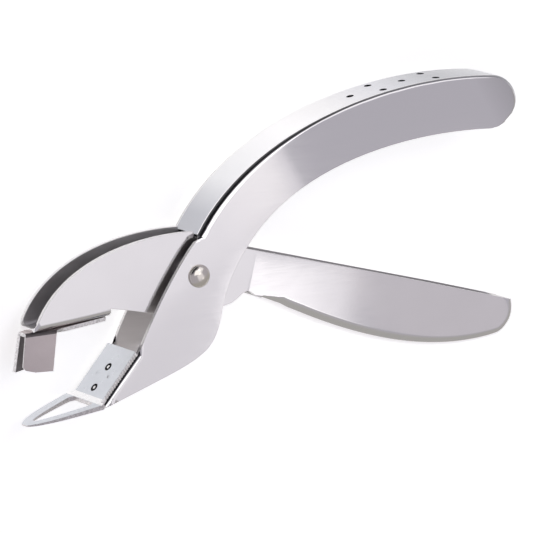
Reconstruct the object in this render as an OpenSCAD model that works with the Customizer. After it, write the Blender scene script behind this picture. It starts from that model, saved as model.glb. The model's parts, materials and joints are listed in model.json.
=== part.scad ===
// Plier-type staple remover in plated sheet steel.
// It lies on its far side: X runs from the jaws (-X) back along the handles (+X),
// Y is up when the tool is held, and Z is up out of the side that faces the user.
// Every outline below is drawn with the pivot as the origin of its X-Y drawing.

/* [Place] */
// Pivot to the middle of the whole length, along X
pivot_x = -28; // [-29:0.1:-27]
// Pivot to the middle of the whole height, along Y
pivot_y = -5.4; // [-6:0.1:-5]

/* [Stampings] */
// Outside width of the upper handle and lower jaw
body_w = 16; // [15.8:0.1:16.4]
// Outside width of the lower handle
grip_w = 13; // [12.6:0.1:13]
// Outside width of the upper jaw
jaw_w = 10; // [9.6:0.1:10.2]
// Thickness of the steel sheet
sheet = 1.2; // [1:0.1:1.3]

/* [Blade] */
// Widest part of the blade, just below its mounting flap
blade_w = 20.4; // [19.6:0.1:20.4]
// Length of the blade from its bend to its point
blade_len = 22.4; // [21.5:0.1:22.6]
// Blade thickness at the bend
blade_t = 1.5; // [1.3:0.1:1.6]
// Blade thickness at the point
blade_tip_t = 0.5; // [0.4:0.1:0.8]
// Slope of the blade below the horizontal, in degrees
blade_slope = 14.6; // [14:0.1:15]
// Thickness of the mounting flap
flap_t = 1.2; // [1.1:0.1:1.3]

/* [Claw] */
// Thickness of the claw
claw_t = 1.2; // [1:0.1:1.3]
// How far the wings reach below the jaw
wing_h = 11.8; // [11:0.1:12]
// Angle between each wing and the middle plane, seen from above, in degrees
wing_toe = 17; // [15:1:19]
// Angle by which the wings spread apart downwards, in degrees
wing_splay = 7; // [5:1:9]

/* [Pivot] */
// Radius of the pivot rivet's shank
shank_r = 2; // [1.8:0.1:2.2]
// Radius of the pivot rivet's domed head
head_r = 3.4; // [3.2:0.1:3.6]
// Height of the domed head
head_h = 1.9; // [1.6:0.1:2]
// Radius of the two spacer washers
washer_r = 5.5; // [5:0.1:6]
// Running clearance between turning parts
running = 0.05; // [0.03:0.01:0.08]

/* [Spring] */
// Wire diameter of the return spring
wire_d = 1.1; // [1:0.05:1.2]
// Radius of the coil at the middle of the wire
coil_r = 4.2; // [4:0.1:4.4]
// Whole turns in the coil
coil_turns = 4; // [3:1:4]

/* [Rivets and holes] */
// Shank radius of the small rivets
small_rivet_r = 1.3; // [1.1:0.1:1.4]
// Radius of the six small holes in the upper handle
vent_r = 1.1; // [0.8:0.1:1.2]
// Distance between rows of small holes, along the handle
vent_pitch = 9.3; // [9:0.1:9.6]
// Half the distance between the two holes of a pair
vent_offset = 4.2; // [3.5:0.1:4.5]

/* [Hidden] */
$fn = 64;
mid_z = blade_w / 2;   // middle plane above the lowest point
hair = 0.02;           // gap round parts that are fixed to each other
far = 60;              // longer than any cut needs to be

// ---------- points and paths ----------
// Points along a cubic curve, all but its last, so that curves can be chained
function curve(a, b, c, d, n = 12) =
    [for (i = [0 : n - 1]) let (t = i / n, s = 1 - t)
        s*s*s*a + 3*s*s*t*b + 3*s*t*t*c + t*t*t*d];
function unit(v) = v / norm(v);
function left_of(v) = [-v.y, v.x];
function heading(angle) = [cos(angle), sin(angle)];
function last(path) = path[len(path) - 1];
// The same path moved sideways, to its right as one walks along it
function moved_right(path, d) =
    [for (i = [0 : len(path) - 1])
        let (from = path[max(i - 1, 0)], to = path[min(i + 1, len(path) - 1)])
        path[i] - d * left_of(unit(to - from))];

// ---------- upper handle and lower jaw ----------
// Outside of the handle's web, from the throat back and round the rear end
web_start = [0.5, 11.8];
web_end = [109.6, 37.9];
web_path = concat(
    curve(web_start, [19, 42.6], [69.6, 53.4], [103, 50], 30),
    curve([103, 50], [109.4, 49.5], [114.6, 43.4], web_end, 10),
    [web_end]);
// Underside of the handle and back of the lower jaw, from the rear end to the blade
under_path = concat(
    [[107.2, 35.8], [104.6, 34.5]],
    curve([102, 34.1], [71, 35.9], [33.5, 29], [17.4, 7.9], 22),
    curve([17.4, 7.9], [12, 1.5], [9.6, -4.5], [8.5, -8.9], 6),
    curve([8.5, -8.9], [7.3, -14.8], [6.4, -20.6], [0.5, -23.7], 10),
    curve([0.5, -23.7], [-4, -26.6], [-12, -29], [-29.5, -35], 8),
    [[-29.5, -35]]);
// Front edge of the side plates in the throat, upwards
throat_path = curve([-20.2, -20.6], [-14.6, -8.4], [-8, 2], [-0.9, 10.6], 10);

// The blade's flap lies on the front of the lower jaw
flap_top = [-21.4, -20.1];
bend = [-33.2, -33.8];
flap_dir = unit(bend - flap_top);
flap_angle = atan2(flap_dir.y, flap_dir.x);
flap_len = norm(bend - flap_top);
flap_in = left_of(flap_dir);          // from the flap's face into the jaw
seat_top = flap_top + (flap_t + hair) * flap_in;
seat_bottom = bend + (flap_t + hair) * flap_in;

body_outline = concat(web_path, under_path,
    [seat_bottom + [0.9, -0.9], seat_bottom, seat_top], throat_path);

// The space between the two side plates, up to the webs that join them
web_inside = moved_right(web_path, sheet);
rear_dir = unit(web_end - [114.6, 43.4]);
front_dir = unit([19, 42.6] - web_start);
body_space = concat(
    web_inside,
    [last(web_inside) + 12 * rear_dir, [60, 16], [26, -4], [14, -34], [-20, -52],
     seat_bottom + sheet * flap_in + 7 * flap_dir,
     seat_top + sheet * flap_in,
     seat_top - 4 * flap_in,
     web_start + 4 * left_of(front_dir)]);

module flat(outline, w) {
    translate([0, 0, -w / 2]) linear_extrude(w) polygon(outline);
}

// Across the tool, through the pivot
module cross_bore(r) {
    cylinder(r = r, h = far, center = true);
}

// Places its children with X down the flap, Y into the jaw, at a distance down the flap
module on_flap(distance) {
    translate(flap_top + distance * flap_dir) rotate(flap_angle) children();
}
flap_rivets = [7, 14.3];              // distances down the flap from its top edge

// Six holes: one, two, one, two along the back of the handle
vent_rows = [for (i = [0 : 3]) 56.6 + i * vent_pitch];
vent_tilt = [11, 7, 4, 0];            // how far each row leans back with the web
module vents() {
    for (i = [0 : 3], z = i % 2 == 0 ? [0] : [-vent_offset, vent_offset])
        translate([vent_rows[i], 49, z]) rotate([90, 0, vent_tilt[i]])
            cylinder(r = vent_r, h = 14, center = true);
}

module body_frame() {
    color("gainsboro") difference() {
        flat(body_outline, body_w);
        flat(body_space, body_w - 2 * sheet);
        cross_bore(shank_r + hair);
        vents();
        for (d = flap_rivets) on_flap(d) rotate([-90, 0, 0])
            cylinder(r = small_rivet_r + hair, h = 6);
    }
}

// ---------- lower handle and upper jaw ----------
floor_slope = 5.35;                   // the jaw's floor rises towards the pivot
floor_dir = heading(floor_slope);
floor_front = [-52.9, -12];           // underside of the floor at the jaw's front end
floor_len = 25.4;
floor_rear = floor_front + floor_len * floor_dir;
floor_up = left_of(floor_dir);

// Outside of the lower handle's web, from its rear top corner down and forwards
grip_start = [112, -19.2];
grip_end = [19.6, -7.8];
grip_path = concat(
    curve(grip_start, [112.6, -21.7], [112.6, -26.8], [106.5, -29.6], 10),
    curve([106.5, -29.6], [80, -34.3], [52, -24.3], [25.6, -10.9], 26),
    [[25.6, -10.9], [22.6, -9.3], grip_end]);

lever_outline = concat(
    [floor_front, floor_front + sheet * floor_up],
    curve([-52.2, -9.4], [-44.2, 8], [-19.6, 13.5], [-0.05, 12.7], 24),
    [[-0.05, 12.7], [0.3, 11.05], [2.3, 10.3]],
    curve([17.1, 6.1], [48, -1.9], [80, -10.2], grip_start),
    grip_path,
    [[18.7, -7]],
    curve([18, -6.7], [17, -6.4], [15.6, -6.9], [14.2, -8.9], 5),
    curve([12.6, -9.6], [4, -12.4], [-5, -12.2], [-13.5, -10.2], 10),
    [[-13.5, -10.2], [-22.4, -8.3], floor_rear + 2.4 * floor_up, floor_rear]);

grip_inside = moved_right(grip_path, sheet);
lever_space = concat(
    [grip_inside[0] + [-2, 12]],
    grip_inside,
    [grip_end + 6 * unit(grip_end - last(grip_inside)), [0, -30],
     floor_rear - 6 * floor_up, floor_rear + sheet * floor_up,
     floor_front + sheet * floor_up - 8 * floor_dir, [-70, 30], [60, 30]]);

// Seen from above, the walls step out from the jaw's width to the handle's
step_slant = 14.4;
module stepped(inset) {
    rotate(-step_slant) rotate([-90, 0, 0]) translate([0, 0, -80]) linear_extrude(160)
        polygon(mirrored([
            [-80, jaw_w / 2 - inset], [11.2, jaw_w / 2 - inset],
            [15.2, grip_w / 2 - inset], [130, grip_w / 2 - inset]]));
}

module lever_frame() {
    color("whitesmoke") difference() {
        intersection() {
            flat(lever_outline, grip_w);
            stepped(0);
        }
        intersection() {
            flat(lever_space, grip_w);
            stepped(sheet);
        }
        cross_bore(shank_r + running);
        for (d = claw_rivets) on_floor(d) rotate([90, 0, 0])
            cylinder(r = small_rivet_r + hair, h = 8, center = true);
    }
}

// ---------- blade ----------
blade_turn = 180 + blade_slope - flap_angle;
// Side view of the flap, with its X down the flap and Y into the jaw
flap_side = [[0, 0], [flap_len, 0],
    [flap_len, 0] + blade_t * [-sin(blade_turn), cos(blade_turn)], [flap_len, flap_t], [0, flap_t]];

function mirrored(half) = concat(half, [for (i = [len(half) - 1 : -1 : 0]) [half[i].x, -half[i].y]]);
leaf = mirrored(concat([[0, blade_w / 2 - 0.6]],
    curve([0.8, blade_w / 2], [9.4, 8], [20.5, 5.6], [blade_len, 0])));
window = mirrored(concat([[1.3, 5.4], [2.5, 6.1]],
    curve([3, 6], [9, 4.4], [17, 2.2], [18.9, 0.1], 8)));

// Two shallow dimples beside the rivets: distance down the flap, and from its middle
pip_place = [9.9, 3.3];
pip_r = 1.2;
pip_deep = 0.25;

module blade() {
    color("lightsteelblue") difference() {
        union() {
            on_flap(0) flat(flap_side, body_w);
            on_flap(flap_len) rotate(blade_turn) intersection() {
                flat([[-0.4, 0], [blade_len, 0], [blade_len, blade_tip_t], [-0.4, blade_t]],
                     blade_w);
                rotate([90, 0, 0]) flat(leaf, 10);
            }
        }
        on_flap(flap_len) rotate(blade_turn) rotate([90, 0, 0]) flat(window, 10);
        for (d = flap_rivets) on_flap(d) rotate([90, 0, 0])
            cylinder(r = small_rivet_r + hair, h = 6, center = true);
        for (side = [-1, 1]) on_flap(pip_place.x) translate([0, pip_deep - pip_r, side * pip_place.y])
            sphere(r = pip_r);
    }
}

// Flush at the front with a ring groove round its middle, and a round head inside the jaw
module blade_rivet(distance) {
    stack = flap_t + hair + sheet;
    color("silver") on_flap(distance) rotate([-90, 0, 0]) difference() {
        union() {
            cylinder(r = small_rivet_r, h = stack + 0.2);
            translate([0, 0, stack + hair]) cylinder(r = 2.1, h = 0.8);
        }
        difference() {
            translate([0, 0, -1]) cylinder(r = 1.05, h = 1.4);
            translate([0, 0, -1]) cylinder(r = 0.55, h = 2);
        }
    }
}

// ---------- claw ----------
// Places its children with X back along the jaw's floor, and Y = 0 at its underside
module on_floor(distance) {
    translate(floor_front + distance * floor_dir) rotate(floor_slope) children();
}
claw_rivets = [12, 20];
claw_front = -1.8;                    // where the wings start, ahead of the jaw's floor
wing_len = 9.3;
wing_lean = -2.2;                     // how far the wings lean forwards at the bottom
claw_nose = 2.3;                      // half widths of the base: nose, shoulders, tail
claw_shoulder = claw_nose + wing_len * sin(wing_toe);
claw_tail = 3.6;
shoulder_x = claw_front + wing_len * cos(wing_toe);

// One wing, in its own plane: X back, Y up, from the base down
wing_full = [[0, 0], [wing_len, 0], [wing_len + wing_lean - 0.3, -wing_h], [wing_lean, -wing_h]];
wing_clipped = [[0, 0], [wing_len, 0], [wing_len + wing_lean - 0.3, -wing_h], [1.6, -wing_h + 0.3],
    [wing_lean + 1, -wing_h + 1.2], [wing_lean + 0.3, -wing_h + 2.2]];

module wing(side, outline) {
    on_floor(claw_front) translate([0, -hair, side * claw_nose])
        rotate([0, -side * wing_toe, 0]) rotate([-side * wing_splay, 0, 0])
            translate([0, 0, side > 0 ? -claw_t : 0]) linear_extrude(claw_t) polygon(outline);
}

module claw() {
    color("rosybrown") difference() {
        union() {
            on_floor(0) translate([0, -hair, 0]) rotate([90, 0, 0]) linear_extrude(claw_t)
                polygon(mirrored([[claw_front, claw_nose], [shoulder_x, claw_shoulder],
                                  [floor_len - 1, claw_tail]]));
            wing(1, wing_clipped);
            wing(-1, wing_full);
        }
        for (d = claw_rivets) on_floor(d) rotate([90, 0, 0])
            cylinder(r = small_rivet_r + hair, h = 8, center = true);
    }
}

// Flush below the claw, with a round head on the jaw's floor
module claw_rivet(distance) {
    stack = sheet + hair + claw_t;
    color("silver") on_floor(distance) translate([0, -claw_t - hair, 0]) rotate([-90, 0, 0]) {
        cylinder(r = small_rivet_r, h = stack + 0.2);
        translate([0, 0, stack + hair]) cylinder(r = 2.1, h = 0.8);
    }
}

// ---------- pivot ----------
module pivot_rivet() {
    dome_r = (head_r * head_r + head_h * head_h) / (2 * head_h);
    tail_r = 3;
    tail_h = 0.8;
    color("rosybrown") difference() {
        union() {
            cylinder(r = shank_r, h = body_w + 2 * hair, center = true);
            translate([0, 0, body_w / 2 + hair]) intersection() {
                cylinder(r = head_r, h = head_h);
                translate([0, 0, head_h - dome_r]) sphere(r = dome_r);
            }
            translate([0, 0, -body_w / 2 - hair - tail_h])
                cylinder(r1 = tail_r - 0.6, r2 = tail_r, h = tail_h);
        }
        translate([0, 0, -body_w / 2 - hair - tail_h - 0.1]) cylinder(r = 1.2, h = 3);
    }
}

module tube(outer_r, inner_r, h) {
    difference() {
        cylinder(r = outer_r, h = h, center = true);
        cylinder(r = inner_r, h = h + 2, center = true);
    }
}

module pivot_sleeve() {
    color("gray") tube(shank_r + 1, shank_r + running, jaw_w - 2 * sheet - 2 * running);
}

washer_z = (body_w / 2 - sheet + jaw_w / 2) / 2;
module spacer_washer(side) {
    color("dimgray") translate([0, 0, side * washer_z])
        tube(washer_r, shank_r + running, body_w / 2 - sheet - jaw_w / 2 - 2 * running);
}

// ---------- return spring ----------
// One leg lies under the upper handle's web, the other on the front end of the lower handle's web
upper_leg = [23.2, 31];
lower_leg = [27, -6.7];
coil_from = atan2(upper_leg.y, upper_leg.x) + acos(coil_r / norm(upper_leg));
coil_to = atan2(lower_leg.y, lower_leg.x) - acos(coil_r / norm(lower_leg)) + 360 * (coil_turns + 1);
coil_pitch = wire_d + 0.15;
coil_steps = 16 * coil_turns;
function coil_z(turned) = coil_pitch * (turned - coil_turns * 180) / 360;
coil_path = [for (i = [0 : coil_steps])
    let (turned = (coil_to - coil_from) * i / coil_steps, a = coil_from + turned)
    [coil_r * cos(a), coil_r * sin(a), coil_z(turned)]];
spring_path = concat(
    [[upper_leg.x, upper_leg.y, coil_path[0].z]],
    coil_path,
    [[lower_leg.x, lower_leg.y, last(coil_path).z]]);

// A round bar along a path that nowhere runs straight across the tool
wire_sides = 8;
module wire(path, d) {
    n = len(path);
    rings = [for (i = [0 : n - 1])
        let (ahead = unit(path[min(i + 1, n - 1)] - path[max(i - 1, 0)]),
             across = unit(cross(ahead, [0, 0, 1])), up = cross(across, ahead))
        for (k = [0 : wire_sides - 1]) let (a = 360 * k / wire_sides)
            path[i] + d / 2 * (cos(a) * across + sin(a) * up)];
    sides = [for (i = [0 : n - 2], k = [0 : wire_sides - 1])
        let (j = (k + 1) % wire_sides, p = i * wire_sides)
        [p + k, p + j, p + wire_sides + j, p + wire_sides + k]];
    ends = [[for (k = [wire_sides - 1 : -1 : 0]) k],
            [for (k = [0 : wire_sides - 1]) (n - 1) * wire_sides + k]];
    polyhedron(rings, concat(sides, ends));
}

module return_spring() {
    color("darkgray") wire(spring_path, wire_d);
}

// ---------- assembly ----------
module placed() {
    translate([pivot_x, pivot_y, mid_z]) children();
}

placed() body_frame();
placed() lever_frame();
placed() blade();
placed() blade_rivet(flap_rivets[0]);  // blade_rivet_upper
placed() blade_rivet(flap_rivets[1]);  // blade_rivet_lower
placed() claw();
placed() claw_rivet(claw_rivets[0]);  // claw_rivet_front
placed() claw_rivet(claw_rivets[1]);  // claw_rivet_rear
placed() pivot_rivet();
placed() pivot_sleeve();
placed() spacer_washer(1);  // spacer_washer_near
placed() spacer_washer(-1);  // spacer_washer_far
placed() return_spring();
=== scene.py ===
"""Looks of a plier-type staple remover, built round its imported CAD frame.

Lengths are in metres. Drawings made here use millimetres from the pivot, as the CAD outlines do, and
drawn() brings them into the shared frame. X runs back along the handles, Y is up when the tool is held,
and Z rises out of the side plate that faces the viewer.
"""

import json
import math

import bmesh
import bpy
from mathutils import Matrix, Vector
from mathutils.geometry import delaunay_2d_cdt


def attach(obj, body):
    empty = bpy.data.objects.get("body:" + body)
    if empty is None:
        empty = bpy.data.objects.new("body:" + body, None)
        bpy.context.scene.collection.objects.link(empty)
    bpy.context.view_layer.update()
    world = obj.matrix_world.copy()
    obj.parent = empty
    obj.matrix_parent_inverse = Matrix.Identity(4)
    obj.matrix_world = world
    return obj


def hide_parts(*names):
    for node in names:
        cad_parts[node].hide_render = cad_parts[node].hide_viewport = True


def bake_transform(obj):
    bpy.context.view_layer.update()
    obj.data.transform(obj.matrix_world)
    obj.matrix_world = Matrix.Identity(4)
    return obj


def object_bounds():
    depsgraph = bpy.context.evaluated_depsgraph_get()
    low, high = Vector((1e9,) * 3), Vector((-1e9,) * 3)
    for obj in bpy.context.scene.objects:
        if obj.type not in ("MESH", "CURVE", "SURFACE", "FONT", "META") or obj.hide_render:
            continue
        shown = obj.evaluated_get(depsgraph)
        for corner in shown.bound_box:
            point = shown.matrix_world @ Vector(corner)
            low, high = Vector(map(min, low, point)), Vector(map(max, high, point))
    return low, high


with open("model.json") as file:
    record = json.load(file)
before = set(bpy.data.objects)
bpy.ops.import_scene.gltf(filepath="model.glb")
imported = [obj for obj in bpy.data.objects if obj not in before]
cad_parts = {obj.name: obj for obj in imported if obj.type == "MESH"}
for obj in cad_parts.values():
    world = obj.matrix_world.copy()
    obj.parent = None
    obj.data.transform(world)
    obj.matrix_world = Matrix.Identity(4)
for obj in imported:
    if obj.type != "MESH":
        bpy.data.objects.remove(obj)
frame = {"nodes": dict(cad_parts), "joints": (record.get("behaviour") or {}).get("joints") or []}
cad_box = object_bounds()

MM = 0.001
PIVOT = Vector(frame["joints"][0]["pos_m"])

# Sizes of the CAD part in millimetres, and places on it, in millimetres from the pivot
SHEET = 1.2
HAIR = 0.02  # gap between two pieces that lie on each other
BODY_HALF = 8.0  # half the width over the upper handle
JAW_HALF = 5.0  # over the upper jaw
GRIP_HALF = 6.5  # and over the lower handle
STEP_SLANT = math.radians(14.4)  # the lower handle's walls step outwards along a line that leans this far
STEP_FROM, STEP_TO = 11.2, 15.2
FLAP_TOP = Vector((-21.4, -20.1, 0))  # of the blade's flap
BEND = Vector((-33.2, -33.8, 0))  # where the flap runs into the blade
FLAP_LENGTH = (BEND - FLAP_TOP).length
FLAP_WAY = (BEND - FLAP_TOP).normalized()
FLAP_RIVETS = (7.0, 14.3)  # distances from the flap's top
BLADE_SLOPE = math.radians(14.6)
BLADE_WAY = Vector((-math.cos(BLADE_SLOPE), -math.sin(BLADE_SLOPE), 0))
FLOOR_FRONT = Vector((-52.9, -12.0, 0))
FLOOR_SLOPE = math.radians(5.35)
FLOOR_WAY = Vector((math.cos(FLOOR_SLOPE), math.sin(FLOOR_SLOPE), 0))
CLAW_RIVETS = (12.0, 20.0)  # distances from the floor's front
RIVET_BORE_R = 1.32


def drawn(point):
    """A point in millimetres from the pivot, in the shared frame."""
    return PIVOT + Vector(point) * MM


def drawing(point):
    """A point of the shared frame, in millimetres from the pivot."""
    return (Vector(point) - PIVOT) / MM


def part_way(value, start, end):
    """How far value has come from start to end, from 0 to 1."""
    return min(max((value - start) / (end - start), 0), 1)


# ---------- materials ----------
def set_stops(ramp, stops):
    """Fills a colour ramp from stops of (position, colour)."""
    while len(ramp.elements) < len(stops):
        ramp.elements.new(0.5)
    for element, (position, colour) in zip(ramp.elements, stops):
        element.position = position
        element.color = (*colour, 1)


class Nodes:
    """Short calls for building one material's node tree."""

    def __init__(self, name):
        self.material = bpy.data.materials.new(name)
        self.material.use_nodes = True
        self.tree = self.material.node_tree
        self.shader = self.tree.nodes["Principled BSDF"]
        self.place = self.tree.nodes.new("ShaderNodeTexCoord").outputs["Object"]

    def link(self, a, b):
        self.tree.links.new(a, b)

    def stretched(self, scale):
        """The object's own coordinates, stretched, so that noise runs in streaks."""
        node = self.tree.nodes.new("ShaderNodeMapping")
        node.inputs["Scale"].default_value = scale
        self.link(self.place, node.inputs["Vector"])
        return node.outputs["Vector"]

    def noise(self, size, detail=3.0, rough=0.5, place=None):
        """Noise whose blotches are about size metres across, from 0 to 1."""
        node = self.tree.nodes.new("ShaderNodeTexNoise")
        node.inputs["Scale"].default_value = 1 / size
        node.inputs["Detail"].default_value = detail
        node.inputs["Roughness"].default_value = rough
        self.link(place or self.place, node.inputs["Vector"])
        return node.outputs["Fac"]

    def between(self, value, low, high, from_low=0.3, from_high=0.7):
        """value brought from one range of numbers to another."""
        node = self.tree.nodes.new("ShaderNodeMapRange")
        limits = {"From Min": from_low, "From Max": from_high, "To Min": low, "To Max": high}
        for name, number in limits.items():
            node.inputs[name].default_value = number
        self.link(value, node.inputs["Value"])
        return node.outputs["Result"]

    def colours(self, value, stops):
        """A colour ramp over value, from stops of (position, colour)."""
        node = self.tree.nodes.new("ShaderNodeValToRGB")
        set_stops(node.color_ramp, stops)
        self.link(value, node.inputs["Fac"])
        return node.outputs["Color"]

    def bumps(self, *layers):
        """Layers of (height, depth in metres, strength), one on top of the other."""
        normal = None
        for height, depth, strength in layers:
            node = self.tree.nodes.new("ShaderNodeBump")
            node.inputs["Distance"].default_value = depth
            node.inputs["Strength"].default_value = strength
            self.link(height, node.inputs["Height"])
            if normal:
                self.link(normal, node.inputs["Normal"])
            normal = node.outputs["Normal"]
        self.link(normal, self.shader.inputs["Normal"])


def tinted(colour, factor):
    return tuple(c * factor for c in colour)


def plated(name, colour, roughness, streaks=(120, 1400, 1400), waves=0.12, tint=0.03, turn=0):
    """Nickel plate over drawn sheet: long faint streaks, a fine satin grain and a slight waviness.

    colour is one colour, or stops of (distance, colour) that let it change slowly along the tool, at
    millimetres from the pivot in a direction turned from X; such stops paint reflections and shade into
    the plate.
    """
    n = Nodes(name)
    n.shader.inputs["Metallic"].default_value = 1.0
    if isinstance(colour, list):
        along = Vector((math.cos(turn), math.sin(turn), 0))
        distance = n.tree.nodes.new("ShaderNodeVectorMath")
        distance.operation = "DOT_PRODUCT"
        distance.inputs[1].default_value = along
        n.link(n.place, distance.inputs[0])
        first, last = colour[0][0], colour[-1][0]
        ends = [drawn(along * d).dot(along) for d in (first, last)]
        stops = [((d - first) / (last - first), shade) for d, shade in colour]
        base = n.colours(n.between(distance.outputs["Value"], 0, 1, *ends), stops)
    else:
        base = n.colours(n.noise(0.012, 4), [(0.3, tinted(colour, 1 - tint)), (0.7, colour)])
    n.link(base, n.shader.inputs["Base Color"])
    streak = n.noise(1.0, 5, 0.6, n.stretched(streaks))
    n.link(n.between(streak, roughness * 0.8, roughness * 1.25), n.shader.inputs["Roughness"])
    grain = n.noise(0.00035, 2)
    wave = n.noise(0.035, 1)
    n.bumps((wave, 0.0006, waves), (streak, 0.00001, 0.04), (grain, 0.00001, 0.2))
    return n.material


def sheared(name, colour, roughness=0.42, grain=0.0004):
    """The edge of a stamped sheet: a bright granular break with small ridges across its thickness."""
    n = Nodes(name)
    n.shader.inputs["Metallic"].default_value = 1.0
    speck = n.noise(grain, 4, 0.7)
    n.link(n.colours(speck, [(0.35, tinted(colour, 0.62)), (0.6, colour)]), n.shader.inputs["Base Color"])
    n.link(n.between(speck, roughness * 0.7, roughness * 1.3), n.shader.inputs["Roughness"])
    n.bumps((n.noise(grain * 1.5, 3, 0.6), 0.00012, 0.7))
    return n.material


PANEL_TURN = math.radians(31.2)  # square to the line in which the upper handle turns from light to grey
NICKEL = (0.83, 0.815, 0.81)
OUTER = plated("nickel_plate", NICKEL, 0.1, waves=0.07)
# The upper handle's plate: its colour along the tool paints a bright reflected band ending near 44 mm and
# shade at the rear end.
BODY_OUTER_PAINTED_REFLECTION = plated("nickel_plate_painted_reflection", [
    (0, NICKEL), (12, (0.84, 0.825, 0.82)), (23, (0.91, 0.89, 0.875)), (36, (0.975, 0.955, 0.93)),
    (41.5, (0.975, 0.955, 0.94)), (44, NICKEL), (107, NICKEL), (117, (0.67, 0.66, 0.65)),
], 0.1, waves=0.07, turn=PANEL_TURN)
# The upper handle's web: painted reflection and shade, grey at its front end, brightest near 34 mm and
# darker towards the rear.
WEB_PAINTED_REFLECTION = plated("nickel_plate_back_painted_reflection", [
    (4, (0.52, 0.525, 0.55)), (13, (0.81, 0.81, 0.81)), (34, (0.96, 0.95, 0.94)), (48, (0.86, 0.85, 0.84)),
    (68, (0.63, 0.63, 0.655)), (85, (0.34, 0.345, 0.36)),
], 0.14, waves=0.07)
# A painted dark band of shade along the bends, darkest near the pivot.
BEND_PAINTED_SHADE = plated("painted_bend_shade", [
    (0, (0.07, 0.07, 0.075)), (40, (0.12, 0.12, 0.12)), (100, (0.30, 0.30, 0.31))], 0.3)
# Inside the upper handle, with painted shade that darkens it from the throat towards the rear.
BODY_INNER_PAINTED_SHADE = plated("plate_inside", [(-8, (0.80, 0.775, 0.765)), (14, (0.14, 0.135, 0.14))], 0.45)
LEVER_INNER = plated("dull_plate_inside", (0.60, 0.585, 0.59), 0.4, tint=0.1)
EDGE = sheared("sheared_edge", (0.90, 0.885, 0.87))
BLADE_FACE = plated("satin_blade", (0.70, 0.72, 0.75), 0.33, streaks=(900, 300, 900), tint=0.08)
BLADE_EDGE = sheared("blade_edge", (0.80, 0.77, 0.76), 0.4, 0.0005)
RIDGES = sheared("ridged_edge", (1.0, 0.985, 0.97), 0.35, 0.0003)
# A painted highlight along the blade's bend.
BLADE_FOLD_PAINTED_HIGHLIGHT = plated("painted_fold_highlight", (0.97, 0.96, 0.95), 0.3)
CLAW_FACE = plated("satin_claw", (0.62, 0.555, 0.545), 0.4, streaks=(900, 900, 900), tint=0.1)
CLAW_BACK = plated("dull_claw", (0.30, 0.28, 0.28), 0.5, streaks=(900, 900, 900), tint=0.1)
# A painted dark band of shade along each claw wing's fold.
CLAW_FOLD_PAINTED_SHADE = plated("painted_fold_shade", (0.15, 0.135, 0.135), 0.5)
CLAW_EDGE = sheared("claw_edge", (0.90, 0.88, 0.87), 0.45, 0.0006)
RIVET = plated("rivet_plate", (0.85, 0.84, 0.83), 0.3, streaks=(1500, 1500, 1500))
DOME = plated("polished_dome", (0.74, 0.70, 0.64), 0.14, streaks=(1500, 1500, 1500))
# Painted dark shade for rivet grooves and for the web's cut edges round its vents.
HOLLOW_PAINTED_SHADE = plated("painted_groove_shade", (0.03, 0.03, 0.032), 0.5)
WIRE = plated("spring_wire", (0.40, 0.40, 0.42), 0.3, streaks=(2500, 2500, 2500))
HIDDEN = plated("inner_steel", (0.45, 0.45, 0.46), 0.38)


# ---------- mesh work ----------
CORNER_ANGLE = math.radians(40)  # edges sharper than this are rounded
WEBS, CREASES = 3, 6  # where a folded sheet's materials for them start, the creases' one a painted dark band of shade; those of its sides start at 0


def piece(name, bm, materials, body, replaced):
    """A new object that stands for CAD nodes. It rides on a CAD body, unless body is None."""
    mesh = bpy.data.meshes.new(name)
    bm.to_mesh(mesh)
    bm.free()
    made = bpy.data.objects.new(name, mesh)
    bpy.context.scene.collection.objects.link(made)
    for material in materials:
        mesh.materials.append(material)
    if body:
        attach(made, body)
    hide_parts(*replaced)
    return made


def finish_surface(made, burr, sheet=0, segments=2):
    """Gives a piece its sheet thickness and rounded edges, and settles its shading."""
    if sheet:
        solid = made.modifiers.new("sheet", "SOLIDIFY")
        solid.thickness = sheet * MM
        solid.offset = -1
        solid.use_quality_normals = True
        solid.material_offset = 1  # the inside
        solid.material_offset_rim = 2  # the cut edge
    bevel = made.modifiers.new("corners", "BEVEL")
    bevel.width = burr * MM
    bevel.segments = segments
    bevel.limit_method = "ANGLE"
    bevel.angle_limit = CORNER_ANGLE
    bevel.use_clamp_overlap = False
    made.data.shade_smooth()
    normals = made.modifiers.new("normals", "WEIGHTED_NORMAL")
    normals.weight = 80
    graph = bpy.context.evaluated_depsgraph_get()
    mesh = bpy.data.meshes.new_from_object(made.evaluated_get(graph), depsgraph=graph)
    for vert in mesh.vertices:  # rounding a slanting corner can push its tip out a little
        vert.co = [min(max(c, low), high) for c, low, high in zip(vert.co, *cad_box)]
    made.modifiers.clear()
    made.data = mesh


def curve(a, b, c, d, steps):
    """Points along a cubic curve, all but its last."""
    a, b, c, d = map(Vector, (a, b, c, d))
    points = []
    for i in range(steps):
        t = i / steps
        s = 1 - t
        points.append(a * s**3 + b * 3 * s * s * t + c * 3 * s * t * t + d * t**3)
    return points


def loop(points):
    """A closed outline as segments."""
    points = [Vector(p).to_2d() for p in points]
    return list(zip(points, points[1:] + points[:1]))


def ring(centre, radius, around=24):
    """A round hole as segments."""
    turns = [2 * math.pi * k / around for k in range(around)]
    return loop([Vector(centre) + Vector((radius * math.cos(a), radius * math.sin(a))) for a in turns])


def mirrored(points):
    """An outline from one half of it, mirrored in Y = 0."""
    return loop(points + [Vector((p[0], -p[1])) for p in reversed(points)])


def is_inside(point, outline):
    x, y = point
    crossed = 0
    for (ax, ay), (bx, by) in outline:
        if (ay > y) != (by > y) and x < ax + (y - ay) * (bx - ax) / (by - ay):
            crossed += 1
    return crossed % 2 == 1


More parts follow.
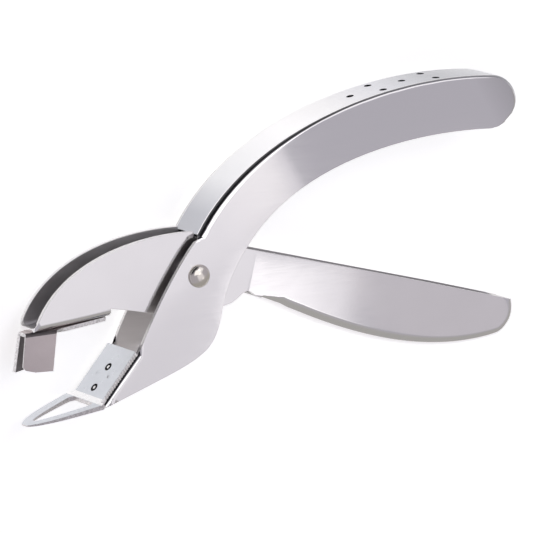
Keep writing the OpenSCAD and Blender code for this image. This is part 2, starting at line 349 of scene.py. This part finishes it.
def fill(outline, lines=()):
    """Triangles inside an outline of 2D segments, its holes left open, with more lines drawn across it."""
    segments = [*outline, *lines]
    points = [Vector(end[:2]) for segment in segments for end in segment]
    edges = [(2 * i, 2 * i + 1) for i in range(len(segments))]
    places, _, faces = delaunay_2d_cdt(points, edges, [], 0, 1e-4, False)[:3]
    middles = [sum((places[i] for i in face), Vector((0, 0))) / len(face) for face in faces]
    return places, [face for face, middle in zip(faces, middles) if is_inside(middle, outline)]


def pressed(outline, lines, surface, thickness, skin):
    """A sheet drawn flat, as 2D segments, and then bent.

    surface gives the point and the normal of a place in the drawing, thickness the depth below it. skin
    gives a face's material from its place and its layer, 0 on that surface, 1 below it, 2 on a cut edge.
    """
    places, triangles = fill(outline, lines)
    bm = bmesh.new()
    upper, under = {}, {}
    for i in sorted({i for triangle in triangles for i in triangle}):
        point, normal = surface(places[i])
        upper[i] = bm.verts.new(drawn(point))
        under[i] = bm.verts.new(drawn(point - normal * thickness(places[i])))
    sides = {(t[k], t[(k + 1) % len(t)]) for t in triangles for k in range(len(t))}
    for triangle in triangles:
        middle = sum((places[i] for i in triangle), Vector((0, 0))) / len(triangle)
        bm.faces.new([upper[i] for i in triangle]).material_index = skin(middle, 0)
        bm.faces.new([under[i] for i in reversed(triangle)]).material_index = skin(middle, 1)
    for i, j in sorted(sides):
        if (j, i) not in sides:
            face = bm.faces.new((upper[j], upper[i], under[i], under[j]))
            face.material_index = skin((places[i] + places[j]) / 2, 2)
    bmesh.ops.recalc_face_normals(bm, faces=bm.faces)
    return bm


def clean_copy(node, cuts):
    """A CAD node's mesh with the triangles of each flat face joined again.

    cuts are planes, as (point, normal), along which faces stay parted. They run through every hole, because
    a face with a hole in its middle can't be one polygon.
    """
    packed = frame["nodes"][node].data
    plain = bpy.data.meshes.new(node)
    plain.from_pydata([v.co for v in packed.vertices], [], [p.vertices for p in packed.polygons])
    bm = bmesh.new()
    bm.from_mesh(plain)
    bmesh.ops.remove_doubles(bm, verts=bm.verts, dist=2e-6)
    for point, normal in cuts:
        geometry = bm.verts[:] + bm.edges[:] + bm.faces[:]
        cut = bmesh.ops.bisect_plane(bm, geom=geometry, plane_co=point, plane_no=normal, dist=1e-7)
        for edge in cut["geom_cut"]:
            if isinstance(edge, bmesh.types.BMEdge):
                edge.seam = True
    bmesh.ops.dissolve_limit(bm, angle_limit=math.radians(0.6), verts=bm.verts, edges=bm.edges,
                             delimit={"SEAM"})
    bm.normal_update()
    return bm


def cut_at(point, direction):
    """A cut through a point in millimetres from the pivot, across a direction."""
    return drawn(point), Vector(direction)


def depth_across(points):
    """How far points reach across the tool, in millimetres."""
    return max(p.z for p in points) - min(p.z for p in points)


class Fold:
    """The bends between one side plate and the webs it runs into, seen from the side.

    outline and path are segments: all round the plate, and along the outside of the bends. radius_at gives
    a bend's outer radius at a place.
    """

    WIDEST = 2.8  # how far from a bend the outline is drawn in short steps

    def __init__(self, outline, path, radius_at):
        self.outline = outline
        self.path = path
        self.radius_at = radius_at

    def nearest(self, point):
        """Distance to the outside of the bends, and the place on it."""
        best = (math.inf, None)
        for a, b in self.path:
            t = min(max((point - a).dot(b - a) / (b - a).length_squared, 0), 1)
            foot = a + (b - a) * t
            best = min(best, ((point - foot).length, foot), key=lambda found: found[0])
        return best

    def drop(self, point):
        """How far the plate's outside has curved away at a point."""
        distance, foot = self.nearest(point)
        radius = self.radius_at(foot)
        if distance >= radius:
            return 0
        return radius - math.sqrt(radius**2 - (radius - distance)**2)

    def lines(self, steps=7):
        """Lines along the bends and across them, for the sheet to curve between."""
        inward = {}
        for a, b in self.path:
            side = Vector((a.y - b.y, b.x - a.x)).normalized()
            if not is_inside((a + b) / 2 + side * 0.05, self.outline):
                side.negate()
            for end in (a, b):
                inward.setdefault(tuple(end), []).append(side)
        across = {}
        for end, sides in inward.items():
            start = Vector(end)
            way = sides[0] if len(sides) == 1 else (sides[0] + sides[1]) / (1 + sides[0].dot(sides[1]))
            across[end] = [start]
            for k in range(1, steps + 1):
                depth = self.radius_at(start) * (1 - math.cos(math.pi / 2 * k / steps))
                place = start + way * depth
                if self.nearest(place)[0] < depth * 0.97 or not is_inside(place, self.outline):
                    break
                across[end].append(place)
        drawn_lines = [pair for places in across.values() for pair in zip(places, places[1:])]
        for a, b in self.path:
            drawn_lines += list(zip(across[tuple(a)], across[tuple(b)]))[1:]
        return drawn_lines

    def fine_outline(self, step=0.4):
        """The plate's outline, with short steps where it runs into a bend."""
        fine = []
        for a, b in self.outline:
            parts = 1
            distance = min(self.nearest(place)[0] for place in (a, b, (a + b) / 2))
            if distance < self.WIDEST and (a, b) not in self.path:
                parts = math.ceil((b - a).length / step)
            points = [a.lerp(b, i / parts) for i in range(parts)] + [b]
            fine += zip(points, points[1:])
        return fine


def folded(node, cuts, radius_at, cad_half, half, lines=(), crease=(0, 0)):
    """The outside of a folded sheet, with round bends, from its CAD node.

    radius_at gives a bend's outer radius, cad_half and half give half the outside width in the CAD part and
    as drawn here, all at a place seen from the side. lines are drawn across the sides, for them to curve
    between. The part of a bend between crease's two depths, as fractions of its radius, takes CREASES, a
    painted dark band of shade along the bend.
    """
    def is_outermost(point, slack):
        return abs(point.z) > cad_half(point) - slack

    bm = clean_copy(node, cuts)
    corners = {face: [drawing(v.co) for v in face.verts] for face in bm.faces}
    sides, broad = set(), set()
    for face, points in corners.items():
        if abs(face.normal.z) > 0.7:
            if all(is_outermost(p, 0.3) for p in points):
                sides.add(face)
        elif abs(face.normal.z) < 0.3 and depth_across(points) > SHEET + 0.3:
            broad.add(face)
    webs = {face for face in broad if any(is_outermost(p, 0.3) for p in corners[face])
            and min(p.z for p in corners[face]) < 0 < max(p.z for p in corners[face])}
    found = list(webs)
    while found:  # the strips beside a hole and between two of them belong to the web as well
        face = found.pop()
        for edge in face.edges:
            if edge.calc_face_angle(math.pi) < math.radians(30):
                for other in set(edge.link_faces) & broad - webs:
                    webs.add(other)
                    found.append(other)
    ends = {face for face in webs if any(f in broad - webs for e in face.edges for f in e.link_faces)}
    webs -= ends

    shell = bmesh.new()
    for face, points in corners.items():  # in the mesh's order, since a set's changes from run to run
        if face not in webs:
            continue
        places = []
        for point in points:
            if is_outermost(point, 0.05):
                point.z = math.copysign(half(point) - radius_at(point), point.z)
            places.append(shell.verts.new(drawn(point)))
        shell.faces.new(places).material_index = WEBS
    for side in (1, -1):
        outline, path = [], []
        for edge in bm.edges:
            beside = [face for face in edge.link_faces if face in sides]
            if len(beside) == 1 and beside[0].normal.z * side > 0:
                segment = tuple(drawing(v.co).to_2d() for v in edge.verts)
                outline.append(segment)
                if any(f in webs for f in edge.link_faces):
                    path.append(segment)
        fold = Fold(outline, path, radius_at)
        places, triangles = fill(fold.fine_outline(), [*fold.lines(), *lines])
        made = {}
        for i in sorted({i for triangle in triangles for i in triangle}):
            height = half(places[i]) - fold.drop(places[i])
            made[i] = shell.verts.new(drawn((*places[i], side * height)))
        for triangle in triangles:
            face = shell.faces.new([made[i] for i in (triangle if side > 0 else reversed(triangle))])
            distance, foot = fold.nearest(sum((places[i] for i in triangle), Vector((0, 0))) / 3)
            # faces in this band of the bend take the painted dark shade
            if crease[0] < distance / radius_at(foot) < crease[1]:
                face.material_index = CREASES
    bm.free()
    bmesh.ops.remove_doubles(shell, verts=shell.verts, dist=8e-6)
    shell.normal_update()
    return shell


BURR = 0.12  # rounding of a frame's sheared edge
PIVOT_CUT = cut_at((0, 0, 0), (1, 0.4, 0))


# ---------- upper handle and lower jaw ----------
def body_radius(point):
    """The bend is wide at the throat, tight along the handle and widest round the rear end."""
    if point.x < -15:
        return 2.0
    rear = part_way(point.x, 102, 110)
    height = part_way(point.y, 37, 44)
    return 2.2 - 1.1 * part_way(point.x, 4, 44) + rear * (2.0 * height - 0.6)


def body_half(point):
    return BODY_HALF


def make_body_frame():
    first_vent, vent_pitch, vent_leans = 56.6, 9.3, (-11, -7, -4, 0)
    cuts = [PIVOT_CUT] + [cut_at(FLAP_TOP + FLAP_WAY * d, FLAP_WAY) for d in FLAP_RIVETS]
    for i, lean in enumerate(map(math.radians, vent_leans)):
        cuts.append(cut_at((first_vent + vent_pitch * i, 49, 0), (math.cos(lean), math.sin(lean), 0)))
    bm = folded("body_frame", cuts, body_radius, body_half, body_half, crease=(0.02, 0.42))
    # Of these skins, the plate, the web, the bend band and the inside carry painted reflection and shade,
    # and the web's cut edges, round its vents too, a painted dark shade.
    skins = (BODY_OUTER_PAINTED_REFLECTION, BODY_INNER_PAINTED_SHADE, EDGE, WEB_PAINTED_REFLECTION, BODY_INNER_PAINTED_SHADE, HOLLOW_PAINTED_SHADE, BEND_PAINTED_SHADE, BODY_INNER_PAINTED_SHADE, EDGE)
    made = piece("upper_handle", bm, skins, "body", ["body_frame"])
    finish_surface(made, BURR, SHEET)


# ---------- lower handle and upper jaw ----------
SOFT_FROM, SOFT_TO = 7.0, 19.0  # where the step starts and ends as it is drawn here


def step_place(point):
    """Distance from the pivot, square to the line in which the walls step outwards."""
    return point.x * math.cos(STEP_SLANT) - point.y * math.sin(STEP_SLANT)


def cad_half(point):
    t = part_way(step_place(point), STEP_FROM, STEP_TO)
    return JAW_HALF + t * (GRIP_HALF - JAW_HALF)


def soft_half(point):
    t = part_way(step_place(point), SOFT_FROM, SOFT_TO)
    return JAW_HALF + t * t * (3 - 2 * t) * (GRIP_HALF - JAW_HALF)


def lever_radius(point):
    """The handle's bend opens out from its front end and narrows again towards the rear."""
    if point.x < 0:
        return 2.2
    if point.x < 30:
        return 0.9 + 2.7 * part_way(point.x, 22, 29)
    return 3.6 - 0.8 * part_way(point.x, 60, 110)


def make_lever_frame():
    along = Vector((math.cos(STEP_SLANT), -math.sin(STEP_SLANT)))
    across = Vector((-along.y, along.x))
    steps = 14
    lines = []
    for i in range(steps + 1):
        middle = along * (SOFT_FROM + (SOFT_TO - SOFT_FROM) * i / steps)
        lines.append((middle - across * 40, middle + across * 40))
    cuts = [PIVOT_CUT] + [cut_at(FLOOR_FRONT + FLOOR_WAY * d, FLOOR_WAY) for d in CLAW_RIVETS]
    bm = folded("lever_frame", cuts, lever_radius, cad_half, soft_half, lines)
    skins = (OUTER, LEVER_INNER, EDGE) * 2
    made = piece("lower_handle", bm, skins, "lever", ["lever_frame"])
    finish_surface(made, BURR, SHEET, 3)


# ---------- blade ----------
BLADE_HALF = 10.2
BLADE_LENGTH = 22.4  # from the bend to where its two edges would meet
BLADE_TIP = 21.74  # and to its blunt tip
BLADE_BACK, BLADE_NOSE = 1.5, 0.5  # its thickness at the bend and at its front
BLADE_BEND_R = 3.5
BLADE_REACH = BLADE_BEND_R * math.tan(math.acos(FLAP_WAY.dot(BLADE_WAY)) / 2)  # the bend's, on either side
PIP_R, PIP_DEEP = 1.2, 0.25
PIP_PLACE, PIP_ACROSS = 9.9, 3.3
RIDGE_COUNT, RIDGE_DEEP = 17, 0.25


def right_of(way):
    """The direction to the right of a way, seen from the side."""
    return Vector((way.y, -way.x, 0))


def blade_surface(place):
    """The blade's upper face: place is the distance past the bend, and the distance across."""
    s, z = place
    across = Vector((0, 0, z))
    if s <= -BLADE_REACH:
        hollow = 0
        pip = Vector((s + FLAP_LENGTH - PIP_PLACE, abs(z) - PIP_ACROSS)).length
        if pip < PIP_R:
            hollow = max(math.sqrt(PIP_R**2 - pip**2) - (PIP_R - PIP_DEEP), 0)
        return BEND + FLAP_WAY * s + across - right_of(FLAP_WAY) * hollow, right_of(FLAP_WAY)
    if s >= BLADE_REACH:
        return BEND + BLADE_WAY * s + across, right_of(BLADE_WAY)
    t = (s + BLADE_REACH) / (2 * BLADE_REACH)
    normal = right_of(FLAP_WAY).slerp(right_of(BLADE_WAY), t)
    middle = BEND - FLAP_WAY * BLADE_REACH + right_of(FLAP_WAY) * BLADE_BEND_R
    return middle - normal * BLADE_BEND_R + across, normal


def blade_thickness(place):
    s = place[0]
    if s < 0:
        return SHEET + 0.3 * part_way(s, -1, 0)
    return BLADE_BACK + (BLADE_NOSE - BLADE_BACK) * s / BLADE_LENGTH


def make_blade():
    half = [(-FLAP_LENGTH, BODY_HALF - 0.3), (-FLAP_LENGTH + 0.3, BODY_HALF)]
    for i in range(RIDGE_COUNT):
        s = -FLAP_LENGTH + 1.0 + (FLAP_LENGTH - 2.4) * i / RIDGE_COUNT
        valley = BODY_HALF - RIDGE_DEEP
        half += [(s, BODY_HALF), (s + 0.2, valley), (s + 0.45, valley), (s + 0.65, BODY_HALF)]
    half += [(-0.3, BODY_HALF), (0.0, BODY_HALF + 0.3), (0.0, BLADE_HALF - 0.6)]
    rail = curve((0.8, BLADE_HALF), (9.4, 8), (20.5, 5.6), (BLADE_LENGTH, 0), 22)
    half += [p for p in rail if p.x < BLADE_TIP] + [Vector((BLADE_TIP, 0.7))]
    window = [(1.3, 5.4), (2.5, 6.1)] + curve((3, 6), (9, 4.4), (17, 2.2), (18.9, 0.1), 14)
    outline = mirrored(half) + mirrored(window)
    lines = []
    for distance in FLAP_RIVETS:
        outline += ring((distance - FLAP_LENGTH, 0), RIVET_BORE_R)
    for side in (1, -1):
        for radius in (0.73, 0.6, 0.4, 0.2):
            lines += ring((PIP_PLACE - FLAP_LENGTH, side * PIP_ACROSS), radius, 20)
    lines += [((BLADE_REACH * k / 4, -12), (BLADE_REACH * k / 4, 12)) for k in range(-4, 5)]

    def skin(place, layer):
        if layer == 2:
            return 3 if place.x < -0.3 else 2
        # the upper face of the bend takes the painted highlight
        return 4 if layer == 0 and abs(place.x) < BLADE_REACH else layer

    bm = pressed(outline, lines, blade_surface, blade_thickness, skin)
    skins = (BLADE_FACE, BLADE_FACE, BLADE_EDGE, RIDGES, BLADE_FOLD_PAINTED_HIGHLIGHT)
    made = piece("forked_blade", bm, skins, "body", ["blade"])
    finish_surface(made, 0.08)


# ---------- claw ----------
CLAW_FRONT = -1.8
CLAW_LENGTH = 24.4
CLAW_NOSE, CLAW_TAIL = 2.3, 3.6  # half its width in front and behind
WING_LENGTH, WING_DROP = 9.3, 11.8
WING_LEAN = -2.2
WING_TOE, WING_SPLAY = math.radians(17), math.radians(7)
WING_TURN = math.pi / 2 - WING_SPLAY  # the angle of the fold
CLAW_BEND_R = 1.3
CLAW_REACH = CLAW_BEND_R * math.tan(WING_TURN / 2)  # the bend's, on either side of the fold line
FLOOR_UP = Vector((-FLOOR_WAY.y, FLOOR_WAY.x, 0))


def on_floor(x, y, z):
    """A point given as distances back along the floor's underside, up from it, and across."""
    return FLOOR_FRONT + FLOOR_WAY * x + FLOOR_UP * y + Vector((0, 0, z))


def wing_frame(side):
    """Start of a wing's fold line in the flat drawing, the way along it and the way out of it."""
    along = Vector((math.cos(WING_TOE), side * math.sin(WING_TOE)))
    out = Vector((-math.sin(WING_TOE), side * math.cos(WING_TOE)))
    return Vector((CLAW_FRONT, side * CLAW_NOSE)), along, out


def claw_surface(place):
    """The claw's upper and outer face, from its flat drawing."""
    side = 1 if place[1] >= 0 else -1
    start, along, out = wing_frame(side)
    v = (place - start).dot(out)
    if v <= -CLAW_REACH:
        x, y, z, leaning = place.x, 0, place.y, 0
    else:
        edge = start + along * (place - start).dot(along)
        if v >= CLAW_REACH:
            leaning = WING_TURN
            sideways, y = v * math.sin(WING_SPLAY), -v * math.cos(WING_SPLAY)
        else:
            leaning = WING_TURN * (v + CLAW_REACH) / (2 * CLAW_REACH)
            sideways = -CLAW_REACH + CLAW_BEND_R * math.sin(leaning)
            y = -CLAW_BEND_R * (1 - math.cos(leaning))
        x, z = edge + out * sideways
    level = on_floor(0, 0, 0)
    up = on_floor(0, 1, 0) - level
    outward = on_floor(out.x, 0, out.y) - level
    return on_floor(x, y - HAIR, z), (up * math.cos(leaning) + outward * math.sin(leaning)).normalized()


def make_claw():
    rear = [(WING_LENGTH + WING_LEAN - 0.3, -WING_DROP), (WING_LENGTH, 0)]
    full = [(0, 0), (WING_LEAN, -WING_DROP), *rear]
    clipped = [(0, 0), (WING_LEAN + 0.3, -WING_DROP + 2.2), (WING_LEAN + 1, -WING_DROP + 1.2),
               (1.6, -WING_DROP + 0.3), *rear]
    points, lines = [], []
    for side, wing in ((1, clipped), (-1, full)):
        start, along, out = wing_frame(side)
        half = [start + along * x - out * y for x, y in wing]
        half += [Vector((CLAW_LENGTH - 0.5, side * CLAW_TAIL)),
                 Vector((CLAW_LENGTH, side * (CLAW_TAIL - 0.5)))]
        points += half if side > 0 else list(reversed(half))
        for k in range(9):
            v = CLAW_REACH * (k / 4 - 1)
            lines.append((start + along * -4 + out * v, start + along * (WING_LENGTH + 3) + out * v))
    outline = loop(points)
    for distance in CLAW_RIVETS:
        outline += ring((distance, 0), RIVET_BORE_R)
    lines.append(((-6, 0), (CLAW_LENGTH + 1, 0)))

    def skin(place, layer):
        start, along, out = wing_frame(1 if place.y > 0 else -1)
        u, v = (place - start).dot(along), (place - start).dot(out)
        # the fold along each wing takes the painted dark shade
        return 3 if layer == 0 and -0.5 < v < CLAW_REACH and 0 < u < WING_LENGTH - 0.5 else layer

    bm = pressed(outline, lines, claw_surface, lambda place: SHEET, skin)
    skins = (CLAW_FACE, CLAW_BACK, CLAW_EDGE, CLAW_FOLD_PAINTED_SHADE)
    made = piece("toed_claw", bm, skins, "lever", ["claw"])
    finish_surface(made, 0.1)


# ---------- turned pieces ----------
def lathe(name, profile, place, body, node, materials, dark=(), around=48):
    """Turns a profile of (radius, height) in millimetres round Z, then puts it in place.

    dark lists the steps of the profile that take the second material, a painted shade in the flap rivets'
    groove.
    """
    bm = bmesh.new()
    rings = []
    for radius, height in profile:
        if radius == 0:
            rings.append([bm.verts.new((0, 0, height * MM))])
            continue
        angles = [2 * math.pi * k / around for k in range(around)]
        rings.append([bm.verts.new((radius * MM * math.cos(a), radius * MM * math.sin(a), height * MM))
                      for a in angles])
    for i, (low, high) in enumerate(zip(rings, rings[1:])):
        for k in range(around):
            j = (k + 1) % around
            corners = [low[k % len(low)], low[j % len(low)], high[j % len(high)], high[k % len(high)]]
            face = bm.faces.new(dict.fromkeys(corners))
            face.material_index = 1 if i in dark else 0
    bmesh.ops.recalc_face_normals(bm, faces=bm.faces)
    bm.transform(place)
    made = piece(name, bm, materials, body, [node])
    finish_surface(made, 0.05)
    return made


def dome(radius, height, rim, steps=10):
    """Profile of a domed head from its rim up to its crown."""
    points = [(radius, 0), (radius, rim)]
    for i in range(1, steps + 1):
        t = i / steps
        points.append((radius * math.cos(t * math.pi / 2), rim + (height - rim) * math.sin(t * math.pi / 2)))
    points[-1] = (0, height)
    return points


def make_pivot_rivet():
    top = BODY_HALF + HAIR
    head = [(r, top + h) for r, h in dome(3.4, 1.9, 0.25)]
    tail = [(0, -top + 1.4), (1.2, -top + 1.4), (1.2, -top - 0.6), (1.5, -top - 0.8), (2.6, -top - 0.8),
            (2.95, -top - 0.6), (3.0, -top - 0.35), (2.7, -top)]
    profile = tail + [(2, -top), (2, top)] + head
    lathe("pivot_rivet_turned", profile, Matrix.Translation(PIVOT), "body", "pivot_rivet",
          (DOME,), around=64)


def seat(start, way, distance):
    """A place on a straight sheet, at a distance from its start, with Z into the jaw."""
    inward = Vector((-way.y, way.x, 0))
    turn = Matrix((way, inward.cross(way), inward)).transposed().to_4x4()
    return Matrix.Translation(drawn(start + way * distance)) @ turn


def make_small_rivets():
    stack = SHEET + HAIR + SHEET
    inside = [(1.3, stack + HAIR), (2.1, stack + HAIR), (2.1, stack + 0.45), (1.6, stack + 0.75),
              (0, stack + 0.82)]
    face = [(0, -0.08), (0.35, -0.06), (0.55, 0.02), (0.6, 0.38), (1.0, 0.38), (1.08, 0.03), (1.3, 0.0)]
    for which, distance in zip(("upper", "lower"), FLAP_RIVETS):
        # the rivet's groove takes the painted dark shade
        lathe(f"flap_rivet_{which}", face + inside, seat(FLAP_TOP, FLAP_WAY, distance), "body",
              f"blade_rivet_{which}", (RIVET, HOLLOW_PAINTED_SHADE), dark=(2, 3, 4, 5))
    face = [(0, 0.03), (1.15, 0.03), (1.3, 0.12)]
    for which, distance in zip(("front", "rear"), CLAW_RIVETS):
        floor = seat(FLOOR_FRONT, FLOOR_WAY, distance)
        place = floor @ Matrix.Translation((0, 0, -(SHEET + HAIR) * MM))
        lathe(f"claw_rivet_{which}_turned", face + inside, place, "lever",
              f"claw_rivet_{which}", (RIVET,))


# ---------- return spring ----------
WIRE_D = 1.1
COIL_R = 4.2
COIL_TURNS = 4
COIL_GAP = 0.15
UPPER_LEG = (23.2, 31.0)  # where each leg ends
LOWER_LEG = (27.0, -6.7)


def make_spring():
    """A torsion spring round the pivot: one leg under the upper web, one on the lower web."""
    start = math.atan2(UPPER_LEG[1], UPPER_LEG[0]) + math.acos(COIL_R / math.hypot(*UPPER_LEG))
    end = math.atan2(LOWER_LEG[1], LOWER_LEG[0]) - math.acos(COIL_R / math.hypot(*LOWER_LEG))
    end += 2 * math.pi * (COIL_TURNS + 1)
    pitch = WIRE_D + COIL_GAP
    steps = 40 * COIL_TURNS

    def height(turned):
        return pitch * (turned / (2 * math.pi) - COIL_TURNS / 2)

    coil = []
    for i in range(steps + 1):
        turned = (end - start) * i / steps
        coil.append((COIL_R * math.cos(start + turned), COIL_R * math.sin(start + turned), height(turned)))
    leg_steps = 14
    path = []
    for i in range(leg_steps):
        t = i / leg_steps
        path.append(Vector((*UPPER_LEG, coil[0][2])).lerp(Vector(coil[0]), t))
    path += [Vector(p) for p in coil]
    for i in range(1, leg_steps + 1):
        t = i / leg_steps
        path.append(Vector(coil[-1]).lerp(Vector((*LOWER_LEG, coil[-1][2])), t))
    bm = bmesh.new()
    rings = []
    sides = 12
    for i, point in enumerate(path):
        ahead = (path[min(i + 1, len(path) - 1)] - path[max(i - 1, 0)]).normalized()
        across = ahead.cross(Vector((0, 0, 1))).normalized()
        up = across.cross(ahead)
        turns = [2 * math.pi * k / sides for k in range(sides)]
        rings.append([bm.verts.new(drawn(point + (across * math.cos(a) + up * math.sin(a)) * WIRE_D / 2))
                      for a in turns])
    for low, high in zip(rings, rings[1:]):
        for k in range(sides):
            j = (k + 1) % sides
            bm.faces.new((low[k], low[j], high[j], high[k]))
    bm.faces.new(rings[0])
    bm.faces.new(rings[-1])
    bmesh.ops.recalc_face_normals(bm, faces=bm.faces)
    made = piece("torsion_spring", bm, (WIRE,), None, ["return_spring"])
    made.data.shade_smooth()
    reach = 9.0  # a distance above and below the pivot; the points at it are worked out below but not used
    drawn((0, reach, 0))
    drawn((0, -reach, 0))
    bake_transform(made)


def dress_hidden_parts():
    """The sleeve and the washers keep their CAD shapes."""
    for node in ("pivot_sleeve", "spacer_washer_near", "spacer_washer_far"):
        made = frame["nodes"][node]
        made.data.materials.clear()
        made.data.materials.append(HIDDEN)


# ---------- stage, light and camera ----------
AZIMUTH, ELEVATION = math.radians(32), math.radians(11)
DISTANCE = 1.8
LENS = 419.4
AIM_RIGHT, AIM_UP = 0.01957, 0.00275  # the middle of the picture, from the pivot's near end
FLOOR_GLOW = 0.56


def make_camera():
    ahead = Vector((math.sin(AZIMUTH) * math.cos(ELEVATION), -math.sin(ELEVATION),
                    -math.cos(AZIMUTH) * math.cos(ELEVATION)))
    right = Vector((math.cos(AZIMUTH), 0, math.sin(AZIMUTH)))
    up = right.cross(ahead)
    aim = drawn((0, 0, BODY_HALF)) + right * AIM_RIGHT + up * AIM_UP
    camera = bpy.data.objects.new("camera", bpy.data.cameras.new("camera"))
    camera.data.lens = LENS
    camera.data.sensor_width = 36
    camera.matrix_world = Matrix.Translation(aim - ahead * DISTANCE) @ Matrix(
        (right, up, -ahead)).transposed().to_4x4()
    bpy.context.scene.collection.objects.link(camera)
    bpy.context.scene.camera = camera


def make_floor():
    mesh = bpy.data.meshes.new("floor")
    half = 3.0
    corners = [(-half, -half, 0), (half, -half, 0), (half, half, 0), (-half, half, 0)]
    mesh.from_pydata(corners, [], [(0, 1, 2, 3)])
    floor = bpy.data.objects.new("floor", mesh)
    bpy.context.scene.collection.objects.link(floor)
    n = Nodes("pale_floor")
    n.link(n.colours(n.noise(0.3), [(0.3, (0.86, 0.86, 0.86)), (0.7, (0.88, 0.88, 0.88))]),
           n.shader.inputs["Base Color"])
    n.shader.inputs["Roughness"].default_value = 0.9
    n.shader.inputs["Specular IOR Level"].default_value = 0.1
    n.shader.inputs["Emission Color"].default_value = (1, 1, 1, 1)
    n.shader.inputs["Emission Strength"].default_value = FLOOR_GLOW
    mesh.materials.append(n.material)


def softbox(name, centre, size, radiance, colour=(1, 1, 1), towards=None, turn=0):
    """A light panel that adds radiance wherever it is reflected. It faces down unless told otherwise."""
    light = bpy.data.lights.new(name, "AREA")
    light.shape = "RECTANGLE"
    light.size, light.size_y = size
    light.energy = radiance * math.pi * size[0] * size[1]
    light.color = colour
    made = bpy.data.objects.new(name, light)
    made.location = centre
    made.rotation_euler = (0, 0, turn)
    if towards:
        made.rotation_euler = (Vector(towards) - Vector(centre)).to_track_quat("-Z", "Y").to_euler()
    made.visible_camera = False
    bpy.context.scene.collection.objects.link(made)


GRIP_TURN = math.radians(-4.5)  # square to the line in which the lower handle turns grey
MIRRORED = Vector((0.627, -0.229))  # how far a side plate's reflection runs sideways for each unit upwards


def side_panel(name, across, along, height, radiance, colour=(1, 1, 1), turn=PANEL_TURN):
    """A panel overhead that is mirrored by one stretch of the side plates.

    across and along are the limits of that stretch, in millimetres from the pivot, square to and along the
    line in which the plates turn grey. height is the panel's above them.
    """
    n = Vector((math.cos(turn), math.sin(turn)))
    middle = n * sum(across) / 2 + Vector((-n.y, n.x)) * sum(along) / 2 + MIRRORED * height
    softbox(name, drawn((*middle, BODY_HALF + height)), [(b - a) * MM for a, b in (across, along)],
            radiance, colour, turn=turn)


def make_world():
    """A grey studio that is dark behind the upper handle."""
    world = bpy.data.worlds.new("studio")
    bpy.context.scene.world = world
    world.use_nodes = True
    tree = world.node_tree
    background = tree.nodes["Background"]
    place = tree.nodes.new("ShaderNodeTexCoord")
    facing = tree.nodes.new("ShaderNodeVectorMath")
    facing.operation = "DOT_PRODUCT"
    facing.inputs[1].default_value = Vector((-0.5, 0.8, 0.2)).normalized()
    ramp = tree.nodes.new("ShaderNodeValToRGB")
    stops = [(-0.6, (0.44, 0.43, 0.42)), (-0.3, (0.49, 0.475, 0.53)), (0.6, (0.49, 0.475, 0.53)),
             (0.85, (0.05, 0.05, 0.055))]
    set_stops(ramp.color_ramp, [(0.5 + cosine / 2, colour) for cosine, colour in stops])
    spread = tree.nodes.new("ShaderNodeMapRange")
    spread.inputs["From Min"].default_value = -1
    tree.links.new(place.outputs["Generated"], facing.inputs[0])
    tree.links.new(facing.outputs["Value"], spread.inputs["Value"])
    tree.links.new(spread.outputs["Result"], ramp.inputs["Fac"])
    tree.links.new(ramp.outputs["Color"], background.inputs["Color"])
    background.inputs["Strength"].default_value = 1.0


def make_stage():
    make_floor()
    make_world()
    warm = (1.0, 0.985, 0.98)
    side_panel("sides", (-117, 9), (-60, 120), 250, 0.27, warm)
    side_panel("sides_rear", (9, 43), (-8, 120), 250, 0.27, warm)
    side_panel("sides_upper", (-117, 43), (2, 120), 247, 0.15, warm)
    for i, (reach, radiance) in enumerate(((60.5, 0.38), (54, 0.12), (47, 0.12), (38, 0.12), (26, 0.16))):
        side_panel(f"grip_{i}", (14, reach), (-60, 5), 243 - 3 * i, radiance, warm, turn=GRIP_TURN)
    side_panel("grip_rear", (43, 110), (-110, -22), 250, 0.12, (1.0, 0.9, 0.85))
    softbox("overhead", drawn((0, 110, 290)), (0.24, 0.2), 0.9)
    softbox("key", (0.5, 0.7, 0.9), (0.7, 0.7), 0.6, towards=(0, 0, 0))
    bpy.context.scene.view_settings.view_transform = "Standard"


make_camera()
make_body_frame()
make_lever_frame()
make_blade()
make_claw()
make_pivot_rivet()
make_small_rivets()
make_spring()
dress_hidden_parts()
make_stage()
